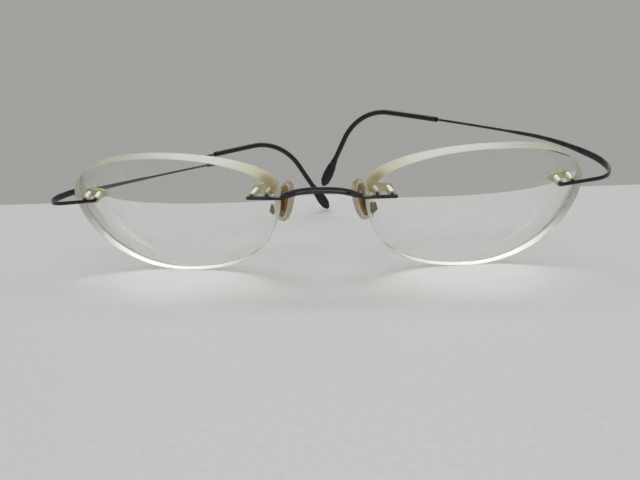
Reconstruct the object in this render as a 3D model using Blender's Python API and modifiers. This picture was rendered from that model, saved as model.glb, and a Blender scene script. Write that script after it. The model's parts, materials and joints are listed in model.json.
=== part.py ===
"""Rimless eyeglasses with sprung temples, open, standing on the lens bottoms and one temple tip.

Real size, in metres. +X is the wearer's left, +Y points back to the temple tips, +Z is up.
Lengths below are in millimetres and angles in degrees; MM turns a length into metres.
"""

import math

import bmesh
import bpy
from mathutils import Matrix, Vector

MM = 0.001
OBJECT_NAME = "eyeglasses"
SIDES = {"right": -1, "left": 1}  # the wearer's sides; right is at -X

# Front: where each lens centre is, and how the lens plane is turned
LENS_CENTRE = (37.0, -6.2, 15.0)
FRONT_TILT = 18.0
FRONT_WRAP = 8.0

# Lens outline: four superellipse quarters that meet at one point of the lens
OUTLINE_HUB = (2.4, 4.8)
OUTLINE_NASAL, OUTLINE_TEMPORAL = 28.15, 25.15
OUTLINE_BELOW = 20.9
OUTLINE_ABOVE = {"right": 10.8, "left": 11.1}
POWER_NASAL_ABOVE = 1.92
POWER_TEMPORAL_ABOVE = {"right": 2.1, "left": 2.5}
POWER_NASAL_BELOW, POWER_TEMPORAL_BELOW = 2.55, 1.97
OUTLINE_POINTS = 56

# Lens surfaces: a round minus blank, later cut to the outline
FRONT_RADIUS = 130.0
BACK_RADIUS = 64.0
CENTRE_THICKNESS = 3.0
BLANK_RADIUS = 31.0
BLANK_RINGS = 5
BLANK_STEPS = 36

# Drilled mounts: two pins each, 3.5 apart, held by a double plug
PIN_RADIUS = 0.35
PLUG_BORE = 0.45
PLUG_RADIUS = 0.75
HOLE_RADIUS = 0.85
PLUG_PROUD = 0.2
FLANGE_RADIUS = 1.15
FLANGE_THICKNESS = 0.7
FLANGE_GAP = 0.25
PIN_SIDES = 12
NASAL_PINS = {"right": ((-24.0, 5.35), (-20.5, 5.35)), "left": ((-24.0, 5.1), (-20.5, 5.1))}

# Bridge: one bar, flat across the lenses and arched over the nose
BRIDGE_REACH = 18.0
BRIDGE_LIFT = 0.45
BRIDGE_ARCH = 1.85
BRIDGE_ARCH_REACH = 9.8
BRIDGE_ARCH_POWER = 2.6
BRIDGE_EASE = 8.0
BRIDGE_END_SIZE = (0.72, 0.95)
BRIDGE_MIDDLE_SIZE = (1.5, 0.85)
BRIDGE_TWIST = (9.6, 7.9)
BRIDGE_RINGS = 36

# Temples: the same strip and wire on both sides, each bent a little differently in use
TEMPLE_START = 20.5
TEMPLE_LIFT = 0.85
TEMPLE_PINS = (0.55, 3.95)
LEG_LENGTH = 9.9
LEG_TURN = 4.2
BEND_RADIUS = 7.1
SWEEP_RADIUS = 12.5
RISE_EASE = 28.0
SLEEVE_START = 61.5
TEMPLE_LENGTH = 125.7
TEMPLE_STEP = 0.25
FLEX_GAP = 0.3
TEMPLES = {
    "right": {
        "height": 4.6,
        "leg": -4.9,
        "start": 8.0,
        "rise": 6.9,
        "sweep": 114.9,
        "rear": 152.7,
        "ear_start": 78.8,
        "ear_radius": 22.1,
        "drop": 55.0,
    },
    "left": {
        "height": 6.05,
        "leg": 5.9,
        "start": 23.2,
        "rise": 8.2,
        "sweep": 118.6,
        "rear": 159.0,
        "ear_start": 81.9,
        "ear_radius": 18.6,
        "drop": 61.9,
    },
}

# Temple strip sections along its length: distance past the bend, height, thickness
STRIP_SECTIONS = (
    (-20.0, 0.85, 0.62),
    (-7.0, 0.95, 0.6),
    (-2.0, 1.5, 0.58),
    (1.5, 1.7, 0.55),
    (8.0, 1.6, 0.55),
    (14.0, 1.32, 0.56),
    (22.0, 1.12, 0.6),
    (30.0, 1.05, 0.65),
    (36.0, 0.82, 0.78),
    (200.0, 0.78, 0.78),
)
CORE_END = 16.0

# Tip sleeves: a soft tube over the wire that ends in a flat paddle; distance before the tip
SLEEVE_SECTIONS = (
    (70.0, 1.75, 1.75),
    (40.0, 1.8, 1.8),
    (13.0, 1.9, 1.85),
    (10.5, 2.6, 1.85),
    (8.0, 3.7, 1.7),
    (5.0, 4.15, 1.55),
    (2.2, 3.7, 1.45),
    (0.7, 2.3, 1.2),
    (0.0, 1.0, 0.7),
)
SLEEVE_BORE = 1.1
SLEEVE_SIDES = 10

# Nose pads: clear skin over a stiff core, screwed into a small box on a bent wire arm
PAD_CENTRE = (9.8, 1.5, 17.6)
PAD_LONG_AXIS = (-2.7, -2.5, 10.0)
PAD_SPLAY = 34.0
PAD_LENGTH, PAD_WIDTH = 11.4, 6.1
PAD_LAYERS = ((-0.9, 0.8), (-0.55, 0.97), (0.0, 1.0), (0.6, 0.93), (1.05, 0.74), (1.25, 0.45))
PAD_SIDES = 20
CORE_LENGTH, CORE_WIDTH, CORE_THICKNESS = 8.0, 3.4, 0.8
POCKET_GAP = 0.2
HUB_DROP = 1.4
TAB_SIZE = (0.8, 1.5, 2.05)
BOX_SIZE = (2.3, 2.2, 2.0)
BOX_SHIFT = -0.3
BOX_SLOT = 1.1
BOX_FLOOR = 0.35
BOX_OFFSET = 1.9
SCREW_RADIUS = 0.3
SCREW_HOLE = 0.4
SCREW_HEAD = (0.6, 0.35)
ARM_RADIUS = 0.4
ARM_START = 9.3
ARM_GAP = 0.12
ARM_ROUTE = (
    (9.3, -8.0, 21.2),
    (9.45, -6.2, 20.7),
    (9.6, -4.6, 19.5),
    (9.9, -2.3, 18.8),
    (10.6, -0.5, 18.5),
)


def clear_scene():
    for obj in list(bpy.data.objects):
        bpy.data.objects.remove(obj)


def collection(name):
    made = bpy.data.collections.new(name)
    bpy.context.scene.collection.children.link(made)
    return made


def material(name, colour, metallic=0.0, roughness=0.4, transmission=0.0):
    made = bpy.data.materials.new(name)
    made.use_nodes = True
    shader = made.node_tree.nodes["Principled BSDF"]
    shader.inputs["Base Color"].default_value = (*colour, 1.0)
    shader.inputs["Metallic"].default_value = metallic
    shader.inputs["Roughness"].default_value = roughness
    shader.inputs["Transmission Weight"].default_value = transmission
    return made


def empty(name, matrix, parent=None):
    """An empty at a place given in the assembly's own frame."""
    made = bpy.data.objects.new(name, None)
    made.empty_display_size = 3 * MM
    PARTS.objects.link(made)
    if parent:
        made.parent = parent
        made.matrix_local = FRAMES[parent.name].inverted() @ matrix
    else:
        made.matrix_local = matrix
    FRAMES[name] = matrix
    return made


def mesh_object(name, bm, parent, finish=None, cutter=False):
    """Turns geometry in the parent's frame into a named object."""
    mesh = bpy.data.meshes.new(name)
    bmesh.ops.recalc_face_normals(bm, faces=bm.faces)
    bm.to_mesh(mesh)
    bm.free()
    made = bpy.data.objects.new(name, mesh)
    made.parent = parent
    (CUTTERS if cutter else PARTS).objects.link(made)
    if cutter:
        made.hide_render = True
        made.display_type = "WIRE"
    else:
        mesh.materials.append(finish)
        mesh.shade_smooth()
        mesh.set_sharp_from_angle(angle=math.radians(35))
    return made


def boolean(obj, operation, other):
    modifier = obj.modifiers.new(f"{operation.lower()} {other.name}", "BOOLEAN")
    modifier.operation = operation
    modifier.object = other


def to_frame(bm, frame):
    """Moves geometry made in the assembly's frame into the frame of an empty."""
    bmesh.ops.transform(bm, matrix=FRAMES[frame.name].inverted(), verts=bm.verts)
    return bm


def loft(rings):
    """A closed skin through rings of equal count, with both ends capped."""
    bm = bmesh.new()
    rows = [[bm.verts.new(point) for point in ring] for ring in rings]
    count = len(rows[0])
    for first, second in zip(rows, rows[1:]):
        for i in range(count):
            j = (i + 1) % count
            bm.faces.new((first[i], first[j], second[j], second[i]))
    bm.faces.new(reversed(rows[0]))
    bm.faces.new(rows[-1])
    return bm


def oval_ring(centre, axis_a, axis_b, size_a, size_b, count, squareness=2.0):
    """Points of a superellipse; squareness 2 is an ellipse, and 4 is nearly a rectangle."""
    points = []
    for i in range(count):
        turn = math.tau * (i + 0.5) / count
        a, b = math.cos(turn), math.sin(turn)
        a = math.copysign(abs(a) ** (2 / squareness), a) * size_a / 2
        b = math.copysign(abs(b) ** (2 / squareness), b) * size_b / 2
        points.append(centre + axis_a * a + axis_b * b)
    return points


def blended(table, at):
    """Values between the rows of a table whose first column is the distance."""
    rows = sorted(table)
    for low, high in zip(rows, rows[1:]):
        if at <= high[0]:
            t = max(0.0, (at - low[0]) / (high[0] - low[0]))
            t = t * t * (3 - 2 * t)
            return [a + (b - a) * t for a, b in zip(low[1:], high[1:])]
    return rows[-1][1:]


def cylinder(bm, start, end, radius, sides=PIN_SIDES):
    start, end = Vector(start), Vector(end)
    turn = (end - start).to_track_quat("Z", "Y").to_matrix().to_4x4()
    place = Matrix.Translation((start + end) / 2) @ turn
    length = (end - start).length
    bmesh.ops.create_cone(
        bm, cap_ends=True, segments=sides, radius1=radius, radius2=radius, depth=length, matrix=place
    )


def block(size, centre):
    bm = bmesh.new()
    bmesh.ops.create_cube(bm, size=1.0)
    bmesh.ops.scale(bm, vec=size, verts=bm.verts)
    bmesh.ops.translate(bm, vec=centre, verts=bm.verts)
    return bm


def outline_solid(points, low, high):
    """A flat outline in the XY plane, extruded between two heights."""
    curve = bpy.data.curves.new("outline", "CURVE")
    curve.dimensions = "2D"
    curve.fill_mode = "BOTH"
    curve.extrude = (high - low) / 2
    spline = curve.splines.new("POLY")
    spline.points.add(len(points) - 1)
    for point, (x, y) in zip(spline.points, points):
        point.co = (x, y, 0.0, 1.0)
    spline.use_cyclic_u = True
    drawn = bpy.data.objects.new("outline", curve)
    bpy.context.scene.collection.objects.link(drawn)
    bpy.context.view_layer.update()
    evaluated = drawn.evaluated_get(bpy.context.evaluated_depsgraph_get())
    mesh = bpy.data.meshes.new_from_object(evaluated)
    bpy.data.objects.remove(drawn)
    bm = bmesh.new()
    bm.from_mesh(mesh)
    bmesh.ops.remove_doubles(bm, verts=bm.verts, dist=0.001 * MM)
    bmesh.ops.translate(bm, vec=(0, 0, (high + low) / 2), verts=bm.verts)
    return bm


def sag(radius, from_axis):
    return radius - math.sqrt(radius * radius - from_axis * from_axis)


def front_height(x, y):
    """Height of the lens's front surface, in the lens frame, in millimetres."""
    return -sag(FRONT_RADIUS, math.hypot(x, y))


def back_height(x, y):
    return -CENTRE_THICKNESS - sag(BACK_RADIUS, math.hypot(x, y))


def lens_frame(side):
    """The lens's own frame: X outward to the wearer's left, Y up the lens, Z out of its front."""
    tilt, wrap = math.radians(FRONT_TILT), math.radians(FRONT_WRAP)
    x_axis = Vector((math.cos(wrap), side * math.sin(wrap), 0))
    forward = math.sin(tilt)
    y_axis = Vector((side * math.sin(wrap) * forward, -math.cos(wrap) * forward, math.cos(tilt)))
    z_axis = x_axis.cross(y_axis)
    frame = Matrix((x_axis, y_axis, z_axis)).transposed().to_4x4()
    x, y, z = LENS_CENTRE
    frame.translation = Vector((side * x, y, z)) * MM
    return frame


def lens_outline(word, side):
    points = []
    for i in range(OUTLINE_POINTS):
        turn = math.tau * i / OUTLINE_POINTS
        c, s = math.cos(turn), math.sin(turn)
        if c >= 0:
            reach, power = OUTLINE_TEMPORAL, POWER_TEMPORAL_ABOVE[word] if s >= 0 else POWER_TEMPORAL_BELOW
        else:
            reach, power = OUTLINE_NASAL, POWER_NASAL_ABOVE if s >= 0 else POWER_NASAL_BELOW
        height = OUTLINE_ABOVE[word] if s >= 0 else OUTLINE_BELOW
        x = OUTLINE_HUB[0] + math.copysign(reach * abs(c) ** (2 / power), c)
        y = OUTLINE_HUB[1] + math.copysign(height * abs(s) ** (2 / power), s)
        points.append((side * x * MM, y * MM))
    return points[:: side]


def lens_blank(name, parent, finish):
    """A turned round blank: front surface outward, then the edge, then the back surface inward."""
    radii = [BLANK_RADIUS * i / BLANK_RINGS for i in range(BLANK_RINGS + 1)]
    profile = [(r, front_height(r, 0)) for r in radii] + [(r, back_height(r, 0)) for r in reversed(radii)]
    mesh = bpy.data.meshes.new(name)
    edges = [(i, i + 1) for i in range(len(profile) - 1)]
    mesh.from_pydata([(x * MM, 0, z * MM) for x, z in profile], edges, [])
    mesh.materials.append(finish)
    blank = bpy.data.objects.new(name, mesh)
    blank.parent = parent
    PARTS.objects.link(blank)
    screw = blank.modifiers.new("turn", "SCREW")
    screw.steps = screw.render_steps = BLANK_STEPS
    screw.use_merge_vertices = True
    screw.merge_threshold = 0.01 * MM
    screw.use_smooth_shade = True
    return blank


def lens(word, side, parent, mounts, finish):
    blank = lens_blank(f"{word}_lens", parent, finish)
    depth = 20 * MM
    prism = outline_solid(lens_outline(word, side), -depth, depth)
    edge = mesh_object(f"{word}_lens_edge", prism, parent, cutter=True)
    boolean(blank, "INTERSECT", edge)
    drill = bmesh.new()
    for x, y in mounts:
        cylinder(drill, (side * x * MM, y * MM, -depth), (side * x * MM, y * MM, depth), HOLE_RADIUS * MM)
    boolean(blank, "DIFFERENCE", mesh_object(f"{word}_lens_drill", drill, parent, cutter=True))


def stadium(length, radius, sides_per_end=6):
    points = []
    for end, start_turn in ((1, -90), (-1, 90)):
        for i in range(sides_per_end + 1):
            turn = math.radians(start_turn + 180 * i / sides_per_end)
            points.append((end * length / 2 + radius * math.cos(turn), radius * math.sin(turn)))
    return [(x * MM, y * MM) for x, y in points]


def double_plug(name, side, parent, pins, finish):
    """Two barrels through the lens, joined behind it by a flange that lies along the back surface."""
    backs = [Vector((side * x, y, back_height(x, y) - FLANGE_GAP)) for x, y in pins]
    middle = (backs[0] + backs[1]) / 2
    along = (backs[1] - backs[0]).normalized()
    if along.x < 0:
        along.negate()
    normal = along.cross(Vector((0, 1, 0))).normalized()
    flange = outline_solid(
        stadium((backs[1] - backs[0]).length, FLANGE_RADIUS), -FLANGE_THICKNESS * MM, 0
    )
    turn = Matrix((along, normal.cross(along), normal)).transposed().to_4x4()
    bmesh.ops.transform(flange, matrix=Matrix.Translation(middle * MM) @ turn, verts=flange.verts)
    plug = mesh_object(name, flange, parent, finish)
    for number, ((x, y), back) in enumerate(zip(pins, backs)):
        barrel, bore = bmesh.new(), bmesh.new()
        top = front_height(x, y) + PLUG_PROUD
        here = Vector((side * x, y, 0))
        ends = [(here + Vector((0, 0, height))) * MM for height in (back.z - 0.3, top)]
        cylinder(barrel, *ends, PLUG_RADIUS * MM)
        ends = [(here + Vector((0, 0, height))) * MM for height in (back.z - 3, top + 1)]
        cylinder(bore, *ends, PLUG_BORE * MM)
        boolean(plug, "UNION", mesh_object(f"{name}_barrel_{number}", barrel, parent, cutter=True))
        boolean(plug, "DIFFERENCE", mesh_object(f"{name}_bore_{number}", bore, parent, cutter=True))


def pin(name, side, parent, at, top, finish):
    """A pin along the lens axis, from just behind the metal part to just past the plug."""
    x, y = at
    bm = bmesh.new()
    end = back_height(x, y) - FLANGE_GAP - FLANGE_THICKNESS - 0.3
    cylinder(bm, (side * x * MM, y * MM, end * MM), (side * x * MM, y * MM, top * MM), PIN_RADIUS * MM)
    return mesh_object(name, bm, parent, finish)


def bridge_height(word):
    """Height of the bar's middle line above the lens's own plane, at the lens."""
    x, y = NASAL_PINS[word][1]
    return front_height(x, y) + PLUG_PROUD + BRIDGE_LIFT + BRIDGE_END_SIZE[1] / 2


def bridge_anchor(word):
    side = SIDES[word]
    x, y = NASAL_PINS[word][0]
    return lens_frame(side) @ (Vector((side * x, y, bridge_height(word))) * MM) / MM


def bridge_lift(x):
    """Share of the arch's full height at a distance from the nose's middle plane."""
    return 1 - min(abs(x) / BRIDGE_ARCH_REACH, 1) ** BRIDGE_ARCH_POWER


def bridge_point(x):
    """The bar's middle line at a distance from the nose's middle plane, in the assembly's frame."""
    right, left = bridge_anchor("right"), bridge_anchor("left")
    t = (x - right.x) / (left.x - right.x)
    slope = math.tan(math.radians(FRONT_WRAP))
    y = left.y + slope * (math.hypot(x, BRIDGE_EASE) - math.hypot(left.x, BRIDGE_EASE))
    return Vector((x, y, right.z + (left.z - right.z) * t + BRIDGE_ARCH * bridge_lift(x)))


def bridge(root, finish):
    tilt = math.radians(FRONT_TILT)
    depth_axis = Vector((0, math.cos(tilt), math.sin(tilt)))
    rings = []
    for i in range(BRIDGE_RINGS + 1):
        x = BRIDGE_REACH * (2 * i / BRIDGE_RINGS - 1)
        along = (bridge_point(x + 0.1) - bridge_point(x - 0.1)).normalized()
        up = depth_axis.cross(along).normalized()
        if up.z < 0:
            up.negate()
        back = along.cross(up).normalized()
        outer, inner = BRIDGE_TWIST
        t = max(0.0, min((outer - abs(x)) / (outer - inner), 1.0))
        size = [a + (b - a) * t for a, b in zip(BRIDGE_END_SIZE, BRIDGE_MIDDLE_SIZE)]
        rings.append(oval_ring(bridge_point(x) * MM, up, back, size[0] * MM, size[1] * MM, 8, 4.0))
    return mesh_object("bridge", to_frame(loft(rings), root), root, finish)


def heading_at(s, shape):
    """Plan direction of a temple in degrees: 0 points outward, 90 straight back, more turns inward."""
    leg = FRONT_WRAP + LEG_TURN
    sweep_end = bend_apex() + math.radians(shape["sweep"] - 90) * SWEEP_RADIUS
    if s < LEG_LENGTH:
        return leg
    if s < bend_apex():
        return leg + math.degrees((s - LEG_LENGTH) / BEND_RADIUS)
    if s < sweep_end:
        return 90 + math.degrees((s - bend_apex()) / SWEEP_RADIUS)
    t = (s - sweep_end) / (temple_reach() - sweep_end)
    return shape["sweep"] + (shape["rear"] - shape["sweep"]) * t


def bend_apex():
    """Length along a temple at which it points straight back: the outermost place of the bend."""
    return LEG_LENGTH + math.radians(90 - FRONT_WRAP - LEG_TURN) * BEND_RADIUS


def temple_reach():
    return bend_apex() + TEMPLE_LENGTH


def elevation_at(s, shape):
    """Slope of a temple in degrees, up positive, from the leg to the drop behind the ear."""
    past = s - bend_apex()
    if s < LEG_LENGTH:
        return shape["leg"]
    if past < 0:
        t = (s - LEG_LENGTH) / (bend_apex() - LEG_LENGTH)
        return shape["leg"] + (shape["start"] - shape["leg"]) * t
    if past < shape["ear_start"]:
        t = min(past / RISE_EASE, 1)
        return shape["start"] + (shape["rise"] - shape["start"]) * t
    dropped = math.degrees((past - shape["ear_start"]) / shape["ear_radius"])
    return max(shape["rise"] - dropped, -shape["drop"])


def temple_points(word, side):
    """Middle line of a temple: (length past the bend's apex, point, direction) in the assembly's frame."""
    shape = TEMPLES[word]
    x, y = TEMPLE_START, shape["height"]
    height = front_height(x, y) + TEMPLE_LIFT
    point = lens_frame(side) @ (Vector((side * x, y, height)) * MM) / MM
    steps = round(temple_reach() / TEMPLE_STEP)
    line = []
    for i in range(steps + 1):
        s = temple_reach() * i / steps
        turn, slope = math.radians(heading_at(s, shape)), math.radians(elevation_at(s, shape))
        flat = math.cos(slope)
        along = Vector((side * math.cos(turn) * flat, math.sin(turn) * flat, math.sin(slope)))
        line.append((s - bend_apex(), point.copy(), along))
        point += along * (temple_reach() / steps)
    return line


def nearest(line, past):
    return min(line, key=lambda row: abs(row[0] - past))


def temple_rings(line, stations, section, count, squareness):
    """Rings across a temple's middle line; section gives each one's height and thickness."""
    rings = []
    for past in stations:
        at, point, along = nearest(line, past)
        across = along.cross(Vector((0, 0, 1))).normalized()
        up = across.cross(along).normalized()
        height, thickness = section(at)
        rings.append(oval_ring(point * MM, up, across, height * MM, thickness * MM, count, squareness(at)))
    return rings


def spaced(start, end, step):
    count = max(1, round(abs(end - start) / step))
    return [start + (end - start) * i / count for i in range(count + 1)]


def strip_section(at):
    return blended(STRIP_SECTIONS, at)


def strip_squareness(at):
    return 4.0 if at < 30 else 2.1


def temple_leg(word, line, parent, finish):
    stations = spaced(-bend_apex(), -7.0, 2.4)[:-1] + spaced(-7.0, -FLEX_GAP / 2, 0.75)
    rings = temple_rings(line, stations, strip_section, 8, strip_squareness)
    return mesh_object(f"{word}_temple_leg", to_frame(loft(rings), parent), parent, finish)


def temple_wire(word, line, axis, finish):
    core_end = TEMPLE_LENGTH - CORE_END
    ear_start = TEMPLES[word]["ear_start"]
    stations = (
        spaced(FLEX_GAP / 2, 7.0, 1.1)[:-1]
        + spaced(7.0, 29.0, 2.4)[:-1]
        + spaced(29.0, ear_start, 6.0)[:-1]
        + spaced(ear_start, core_end, 1.9)
    )
    rings = temple_rings(line, stations, strip_section, 8, strip_squareness)
    return mesh_object(f"{word}_temple_wire", to_frame(loft(rings), axis), axis, finish)


def sleeve_section(at):
    return blended(SLEEVE_SECTIONS, TEMPLE_LENGTH - at)


def bore_section(at):
    return (SLEEVE_BORE, SLEEVE_BORE)


def tip_sleeve(word, line, axis, finish):
    """The bore's rings run forward from its blind end, and the outer rings back to the tip."""
    core_end = TEMPLE_LENGTH - CORE_END
    ear_start = TEMPLES[word]["ear_start"]
    bore = spaced(core_end + 0.6, ear_start, 1.9)[:-1] + spaced(ear_start, SLEEVE_START, 6.0)
    outer = spaced(SLEEVE_START, ear_start, 5.0)[:-1] + spaced(ear_start, core_end, 1.9)[:-1]
    outer += spaced(core_end, TEMPLE_LENGTH - 2, 1.6)[:-1] + spaced(TEMPLE_LENGTH - 2, TEMPLE_LENGTH, 0.5)
    rings = temple_rings(line, bore, bore_section, SLEEVE_SIDES, lambda at: 2.0)
    rings += temple_rings(line, outer, sleeve_section, SLEEVE_SIDES, lambda at: 2.0)
    return mesh_object(f"{word}_temple_sleeve", to_frame(loft(rings), axis), axis, finish)


def temple(word, side, front, root, finishes):
    line = temple_points(word, side)
    apex = nearest(line, 0.0)[1]
    axis = empty(f"{word}_temple_axis", Matrix.Translation(apex * MM), root)
    temple_leg(word, line, front, finishes["titanium"])
    temple_wire(word, line, axis, finishes["titanium"])
    tip_sleeve(word, line, axis, finishes["sleeve"])


def temple_pin_places(word, side):
    """Where the leg's two pins stand on the lens, and the height of the leg's middle line there."""
    line = temple_points(word, side)
    to_lens = lens_frame(side).inverted()
    places = []
    for distance in TEMPLE_PINS:
        local = to_lens @ (nearest(line, distance - bend_apex())[1] * MM) / MM
        places.append(((side * local.x, local.y), local.z))
    return places


def pad_frame(side):
    """X across the pad, Y up its length, Z out of the face that bears on the nose."""
    long_axis = Vector((side * PAD_LONG_AXIS[0], PAD_LONG_AXIS[1], PAD_LONG_AXIS[2])).normalized()
    splay = math.radians(PAD_SPLAY)
    face = Vector((-side * math.cos(splay), math.sin(splay), 0))
    face = (face - long_axis * face.dot(long_axis)).normalized()
    across = long_axis.cross(face)
    frame = Matrix((across, long_axis, face)).transposed().to_4x4()
    x, y, z = PAD_CENTRE
    frame.translation = Vector((side * x, y, z)) * MM
    return frame


def pad_ring(height, width, length):
    return oval_ring(
        Vector((0, 0, height * MM)), Vector((1, 0, 0)), Vector((0, 1, 0)), width * MM, length * MM, PAD_SIDES, 2.2
    )


def pad_skin(word, axis, finish):
    """A clear pad with a pocket in its back: the pocket's floor first, then the outside."""
    back = PAD_LAYERS[0][0]
    floor = back + CORE_THICKNESS + POCKET_GAP
    pocket = (CORE_WIDTH + 2 * POCKET_GAP, CORE_LENGTH + 2 * POCKET_GAP)
    rings = [pad_ring(floor, *pocket), pad_ring(back, *pocket)]
    rings += [pad_ring(height, PAD_WIDTH * share, PAD_LENGTH * share) for height, share in PAD_LAYERS]
    skin = loft(rings)
    bmesh.ops.translate(skin, vec=(0, HUB_DROP * MM, BOX_OFFSET * MM), verts=skin.verts)
    return mesh_object(f"{word}_pad_skin", skin, axis, finish)


def pad_core(word, axis, finish):
    """An oval plate in the pad's pocket, with a drilled tab that stands out of its back."""
    back = PAD_LAYERS[0][0] + BOX_OFFSET
    plate = loft([pad_ring(height, CORE_WIDTH, CORE_LENGTH) for height in (back, back + CORE_THICKNESS)])
    bmesh.ops.translate(plate, vec=(0, HUB_DROP * MM, 0), verts=plate.verts)
    core = mesh_object(f"{word}_pad_core", plate, axis, finish)
    width, height, depth = (size * MM for size in TAB_SIZE)
    top = (back + 0.3) * MM
    tab = block((width, height, depth), (0, 0, top - depth / 2))
    boolean(core, "UNION", mesh_object(f"{word}_pad_core_tab", tab, axis, cutter=True))
    drill = bmesh.new()
    cylinder(drill, (-2 * MM, 0, 0), (2 * MM, 0, 0), SCREW_HOLE * MM)
    boolean(core, "DIFFERENCE", mesh_object(f"{word}_pad_core_drill", drill, axis, cutter=True))


def pad_box(word, parent, finish):
    """A small metal fork that takes the tab and the screw."""
    width, height, depth = (size * MM for size in BOX_SIZE)
    centre = Vector((0, 0, BOX_SHIFT * MM))
    box = mesh_object(f"{word}_pad_box", block((width, height, depth), centre), parent, finish)
    slot = block((BOX_SLOT * MM, 2 * height, depth), centre + Vector((0, 0, BOX_FLOOR * MM)))
    boolean(box, "DIFFERENCE", mesh_object(f"{word}_pad_box_slot", slot, parent, cutter=True))
    drill = bmesh.new()
    cylinder(drill, (-2 * MM, 0, 0), (2 * MM, 0, 0), SCREW_HOLE * MM)
    boolean(box, "DIFFERENCE", mesh_object(f"{word}_pad_box_drill", drill, parent, cutter=True))


def pad_screw(word, side, parent, finish):
    """A cheese-head screw across the fork, its head on the rear cheek."""
    head_radius, head_height = SCREW_HEAD
    seat = BOX_SIZE[0] / 2 + 0.08
    end = -BOX_SIZE[0] / 2
    profile = ((0, seat + head_height), (head_radius, seat + head_height), (head_radius, seat))
    profile += ((SCREW_RADIUS, seat), (SCREW_RADIUS, end), (0, end))
    name = f"{word}_pad_screw"
    mesh = bpy.data.meshes.new(name)
    edges = [(i, i + 1) for i in range(len(profile) - 1)]
    mesh.from_pydata([(x * MM, 0, z * MM) for x, z in profile], edges, [])
    mesh.materials.append(finish)
    screw = bpy.data.objects.new(name, mesh)
    screw.parent = parent
    screw.rotation_euler = (0, math.radians(90 * -side), 0)
    PARTS.objects.link(screw)
    turned = screw.modifiers.new("turn", "SCREW")
    turned.steps = turned.render_steps = PIN_SIDES
    turned.use_merge_vertices = True
    turned.merge_threshold = 0.01 * MM


def smooth_route(points, per_span=4):
    """Points on one smooth curve through all of the given ones."""
    ends = [points[0] * 2 - points[1]] + list(points) + [points[-1] * 2 - points[-2]]
    route = []
    for a, b, c, d in zip(ends, ends[1:], ends[2:], ends[3:]):
        for i in range(per_span):
            t = i / per_span
            route.append(
                (b * 2 + (c - a) * t + (a * 2 - b * 5 + c * 4 - d) * t**2 + (b * 3 - a - c * 3 + d) * t**3) / 2
            )
    return route + [points[-1]]


def pad_hub(side):
    """The pad screw's place, in the pad's own directions."""
    return pad_frame(side) @ Matrix.Translation((0, -HUB_DROP * MM, -BOX_OFFSET * MM))


def pad_arm(word, side, root, finish):
    """A bent wire that loops over from the bridge's back and comes down on top of the pad's box."""
    start = bridge_point(side * ARM_START) + Vector((0, BRIDGE_END_SIZE[1] / 2 + ARM_RADIUS + ARM_GAP, 0.25))
    hub = pad_hub(side)
    end = hub @ (Vector((0, BOX_SIZE[1] / 2 + ARM_GAP, BOX_SHIFT)) * MM) / MM
    above = end + hub.to_3x3() @ Vector((0, 0.9, 0))
    route = smooth_route([start] + [Vector((side * x, y, z)) for x, y, z in ARM_ROUTE] + [above, end])
    rings = []
    for before, here, after in zip([route[0]] + route, route, route[1:] + [route[-1]]):
        along = (after - before).normalized()
        across = along.cross(Vector((0.1, 0, 1))).normalized()
        up = across.cross(along).normalized()
        rings.append(oval_ring(here * MM, up, across, 2 * ARM_RADIUS * MM, 2 * ARM_RADIUS * MM, 8))
    return mesh_object(f"{word}_pad_arm", to_frame(loft(rings), root), root, finish)


def nose_pad(word, side, root, finishes):
    axis = empty(f"{word}_pad_axis", pad_hub(side), root)
    pad_skin(word, axis, finishes["silicone"])
    pad_core(word, axis, finishes["core"])
    pad_box(word, axis, finishes["titanium"])
    pad_screw(word, side, axis, finishes["screw"])
    pad_arm(word, side, root, finishes["titanium"])


def nasal_mount(word, side, front, finishes):
    double_plug(f"{word}_nasal_plug", side, front, NASAL_PINS[word], finishes["plug"])
    top = bridge_height(word) - BRIDGE_END_SIZE[1] / 2 - 0.1
    for place, at in zip(("inner", "outer"), NASAL_PINS[word]):
        pin(f"{word}_bridge_pin_{place}", side, front, at, top, finishes["titanium"])


def temporal_mount(word, side, front, places, finishes):
    double_plug(f"{word}_temporal_plug", side, front, [at for at, _ in places], finishes["plug"])
    for place, (at, height) in zip(("inner", "outer"), places):
        pin(f"{word}_temple_pin_{place}", side, front, at, height - 0.5, finishes["titanium"])


def finishes():
    return {
        "lens": material("clear lens", (0.93, 0.95, 0.92), 0.0, 0.02, 1.0),
        "titanium": material("dark titanium", (0.13, 0.11, 0.13), 1.0, 0.3),
        "sleeve": material("black sleeve", (0.02, 0.02, 0.022), 0.0, 0.45),
        "plug": material("clear plug", (0.9, 0.86, 0.68), 0.0, 0.15, 0.8),
        "silicone": material("clear silicone", (0.86, 0.84, 0.78), 0.0, 0.25, 0.8),
        "core": material("amber core", (0.42, 0.24, 0.07), 0.0, 0.4),
        "screw": material("screw steel", (0.3, 0.28, 0.26), 1.0, 0.35),
    }


def stand_on_origin(root):
    """Moves the assembly so that the middle of its base is at the origin."""
    bpy.context.view_layer.update()
    graph = bpy.context.evaluated_depsgraph_get()
    corners = []
    for obj in PARTS.objects:
        if obj.type == "MESH":
            evaluated = obj.evaluated_get(graph)
            corners += [evaluated.matrix_world @ vertex.co for vertex in evaluated.data.vertices]
    low = [min(point[i] for point in corners) for i in range(3)]
    high = [max(point[i] for point in corners) for i in range(3)]
    root.location = (-(low[0] + high[0]) / 2, -(low[1] + high[1]) / 2, -low[2])


def main():
    looks = finishes()
    root = empty(OBJECT_NAME, Matrix.Identity(4))
    bridge(root, looks["titanium"])
    for word, side in SIDES.items():
        front = empty(f"{word}_lens_frame", lens_frame(side), root)
        places = temple_pin_places(word, side)
        lens(word, side, front, list(NASAL_PINS[word]) + [at for at, _ in places], looks["lens"])
        nasal_mount(word, side, front, looks)
        temporal_mount(word, side, front, places, looks)
        nose_pad(word, side, root, looks)
        temple(word, side, front, root, looks)
    stand_on_origin(root)


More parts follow.
